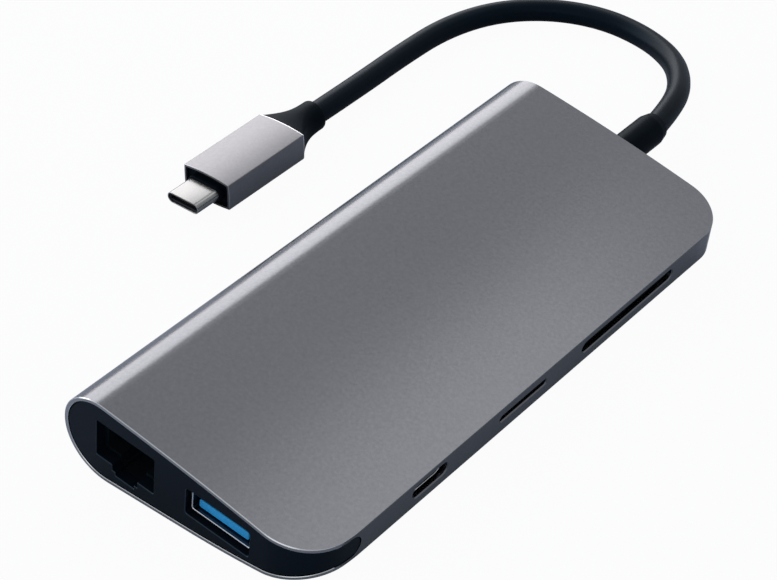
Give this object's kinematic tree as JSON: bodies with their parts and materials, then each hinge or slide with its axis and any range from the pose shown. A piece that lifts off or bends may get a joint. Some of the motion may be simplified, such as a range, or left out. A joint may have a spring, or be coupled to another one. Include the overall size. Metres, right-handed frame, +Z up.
{
  "type": "usb hub",
  "caption": "Wedge-shaped metal desktop hub with network, USB, display and card ports, and a short captive cable ending in a USB-C plug",
  "frame": {"origin": "centre of the hub's footprint, on the surface it stands on", "axes": "+X towards the thin side with the card slots, +Y towards the cable end, +Z up"},
  "size_m": [0.0948, 0.1761, 0.018],
  "materials": {
    "sleeve_aluminium": "bead-blasted, space grey anodised",
    "plug_aluminium": "bead-blasted, space grey anodised",
    "cap_plastic": "fine satin",
    "jack_plastic": "plain moulded",
    "socket_plastic": "plain moulded",
    "tray_plastic": "plain moulded",
    "header_plastic": "plain moulded",
    "usb_blue_plastic": "plain moulded",
    "port_steel": "nickel plated",
    "contact_gold": "gold plated",
    "spring_steel": "drawn wire",
    "screw_steel": "zinc plated",
    "board_laminate": "green solder mask",
    "chip_resin": "moulded resin",
    "ceramic_part": "ceramic",
    "ferrite_part": "ferrite",
    "crystal_can": "nickel can",
    "cable_rubber": "satin jacket",
    "relief_rubber": "satin moulded",
    "lead_jacket": "wire insulation"
  },
  "bodies": {
    "hub": {"housing_sleeve": "sleeve_aluminium", "front_end_cap": "cap_plastic", "rear_end_cap": "cap_plastic", "inner_tray": "tray_plastic", "main_board": "board_laminate", "board_screws": "screw_steel", "lan_transformer": "chip_resin", "clock_crystals": "crystal_can", "power_inductors": "ferrite_part", "capacitors": "ceramic_part", "cable_gland": "relief_rubber", "cable_leads": "lead_jacket", "cable_header": "header_plastic", "cable": "cable_rubber", "hub_controller_chip": "chip_resin", "ethernet_chip": "chip_resin", "display_chip": "chip_resin", "card_reader_chip": "chip_resin", "power_controller_chip": "chip_resin", "ethernet_jack_housing": "jack_plastic", "ethernet_jack_shield": "port_steel", "ethernet_jack_contacts": "contact_gold", "front_usb_shell": "port_steel", "front_usb_tongue": "usb_blue_plastic", "front_usb_contacts": "contact_gold", "rear_usb_shell": "port_steel", "rear_usb_tongue": "usb_blue_plastic", "rear_usb_contacts": "contact_gold", "hdmi_shell": "port_steel", "hdmi_tongue": "socket_plastic", "hdmi_contacts": "contact_gold", "usb_c_port_shell": "port_steel", "usb_c_port_tongue": "socket_plastic", "usb_c_port_contacts": "contact_gold", "microsd_socket_base": "socket_plastic", "microsd_socket_cover": "port_steel", "microsd_contacts": "contact_gold", "microsd_spring": "spring_steel", "sd_socket_base": "socket_plastic", "sd_socket_cover": "port_steel", "sd_contacts": "contact_gold", "sd_spring": "spring_steel", "plug_sleeve": "plug_aluminium", "plug_insert": "cap_plastic", "plug_shell": "port_steel", "plug_contact_carrier": "socket_plastic", "plug_contacts": "contact_gold", "plug_board": "board_laminate", "plug_strain_relief": "relief_rubber"},
    "microsd_carriage": {"microsd_slider": "socket_plastic"},
    "sd_carriage": {"sd_slider": "socket_plastic"}
  },
  "joints": [
    {"name": "microsd_push_slide", "type": "slide", "parent": "hub", "child": "microsd_carriage", "axis": [-0.9936, 0, 0.1132], "range_m": [0, 0.003], "stiffness_N_per_m": 150, "springref_m": -0.0005, "deforming": ["microsd_spring"]},
    {"name": "sd_push_slide", "type": "slide", "parent": "hub", "child": "sd_carriage", "axis": [-0.9936, 0, 0.1132], "range_m": [0, 0.004], "stiffness_N_per_m": 150, "springref_m": -0.0005, "deforming": ["sd_spring"]}
  ]
}
